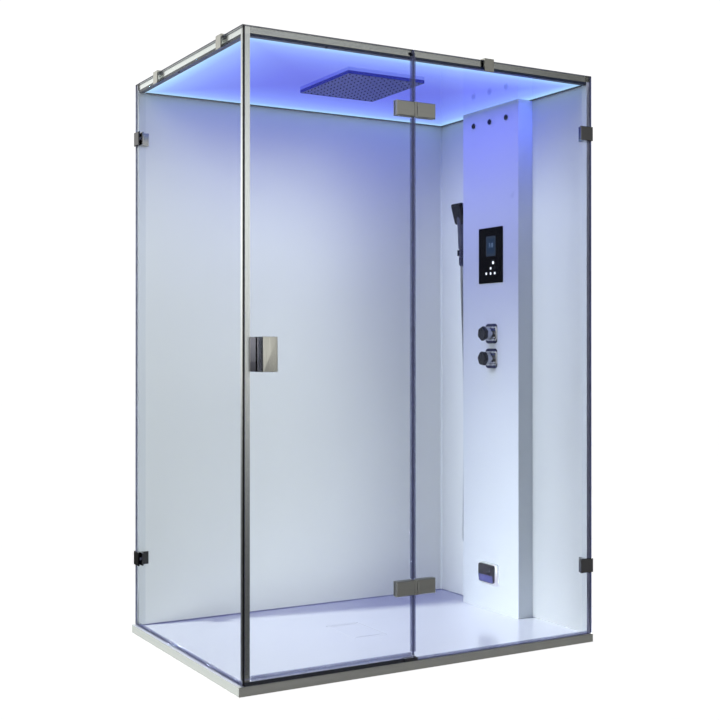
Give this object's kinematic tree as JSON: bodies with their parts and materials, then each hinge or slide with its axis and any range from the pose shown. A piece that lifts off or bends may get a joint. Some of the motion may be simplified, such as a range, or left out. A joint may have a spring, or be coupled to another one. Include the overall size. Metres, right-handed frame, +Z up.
{
  "type": "steam shower cabin",
  "caption": "Low-tray steam shower cabin with glass front and side walls, an outward-swinging glass door, a backlit ceiling, a rain head and a service column with controls and hand shower.",
  "frame": {"origin": "axis of the waste outlet at floor level", "axes": "+X to the right wall with the column, +Y to the back wall, +Z up; the door side faces -Y"},
  "size_m": [1.5135, 1.091, 2.205],
  "materials": {
    "acrylic_white": "glossy cast acrylic, hollow underneath",
    "panel_laminate": "smooth high-gloss wall panel",
    "steel_satin": "satin brushed stainless steel",
    "aluminium_polished": "polished anodised profile",
    "dark_trim": "dark glossy trim strip",
    "chrome": "bright chrome plate",
    "dark_chrome": "dark mirror-polished metal",
    "clear_glass": "clear toughened safety glass",
    "black_glass": "black back-painted touch glass",
    "clear_seal": "translucent soft strip",
    "white_plastic": "plain moulded plastic",
    "black_plastic": "dark moulded plastic",
    "ceiling_acrylic": "light-spreading glossy ceiling sheet, lit from behind",
    "led_tape": "light strip",
    "copper_pipe": "drawn pipe",
    "brass_valve": "cast valve body",
    "hose_chrome": "flexible metal-wound hose"
  },
  "bodies": {
    "cabin": {"back_wall_panel": "panel_laminate", "ceiling_cover": "white_plastic", "ceiling_frame": "dark_trim", "ceiling_panel": "ceiling_acrylic", "column_brackets": "steel_satin", "column_shell": "acrylic_white", "control_glass": "black_glass", "control_housing": "black_plastic", "corner_clips": "dark_chrome", "corner_post": "aluminium_polished", "diverter_valve": "brass_valve", "door_threshold": "dark_chrome", "fixed_glass": "clear_glass", "frame_screws": "steel_satin", "glass_seals": "clear_seal", "handset_holder": "chrome", "hinge_fixed_leaves": "steel_satin", "hinge_pins": "steel_satin", "hose_elbow": "chrome", "hose_supply_pipe": "copper_pipe", "jet_housings": "chrome", "led_driver": "white_plastic", "led_strips": "led_tape", "left_glass": "clear_glass", "mixer_valve": "brass_valve", "rail_clips": "dark_chrome", "rail_corner_blocks": "dark_chrome", "rain_head_body": "chrome", "rain_head_face": "chrome", "right_wall_panel": "panel_laminate", "riser_pipe": "copper_pipe", "shower_hose": "hose_chrome", "shower_tray": "acrylic_white", "steam_generator": "steel_satin", "steam_outlet_body": "white_plastic", "steam_outlet_cover": "dark_chrome", "steam_pipe": "copper_pipe", "threshold_block": "dark_chrome", "top_rail_front": "aluminium_polished", "top_rail_left": "aluminium_polished", "top_rails_rear": "aluminium_polished", "tray_apron": "steel_satin", "valve_plates": "chrome", "wall_profiles": "aluminium_polished", "waste_flange": "chrome"},
    "door": {"door_glass": "clear_glass", "door_seals": "clear_seal", "handle_outer": "dark_chrome", "handle_inner": "dark_chrome", "door_screws": "steel_satin", "hinge_door_leaves": "steel_satin"},
    "mixer_grip": {"mixer_knob": "dark_chrome"},
    "diverter_grip": {"diverter_knob": "dark_chrome"},
    "jet_right": {"jet_nozzle_right": "chrome"},
    "jet_middle": {"jet_nozzle_middle": "chrome"},
    "jet_left": {"jet_nozzle_left": "chrome"},
    "hand_shower": {"handset": "black_plastic", "hose_nut": "chrome"},
    "drain_lid": {"drain_cover": "acrylic_white"}
  },
  "joints": [
    {"name": "door_hinge", "type": "hinge", "parent": "cabin", "child": "door", "pos_m": [-0.068, -0.5245, 1.14], "axis": [0, 0, 1], "range_deg": [0, 95]},
    {"name": "mixer_turn", "type": "hinge", "parent": "cabin", "child": "mixer_grip", "pos_m": [0.66, 0.0135, 1.203], "axis": [1, 0, 0], "range_deg": [-90, 90]},
    {"name": "diverter_turn", "type": "hinge", "parent": "cabin", "child": "diverter_grip", "pos_m": [0.66, 0.0135, 1.098], "axis": [1, 0, 0], "range_deg": [-90, 90]},
    {"name": "jet_right_aim", "type": "hinge", "parent": "cabin", "child": "jet_right", "pos_m": [0.6617, -0.089, 2.103], "axis": [0, 1, 0], "range_deg": [-12, 12]},
    {"name": "jet_middle_aim", "type": "hinge", "parent": "cabin", "child": "jet_middle", "pos_m": [0.6617, 0.027, 2.103], "axis": [0, 1, 0], "range_deg": [-12, 12]},
    {"name": "jet_left_aim", "type": "hinge", "parent": "cabin", "child": "jet_left", "pos_m": [0.6617, 0.143, 2.103], "axis": [0, 1, 0], "range_deg": [-12, 12]},
    {"name": "handset_lift", "type": "slide", "parent": "cabin", "child": "hand_shower", "axis": [0, 0, 1], "range_m": [0, 0.05]},
    {"name": "drain_cover_lift", "type": "slide", "parent": "cabin", "child": "drain_lid", "axis": [0, 0, 1], "range_m": [0, 0.05]}
  ]
}
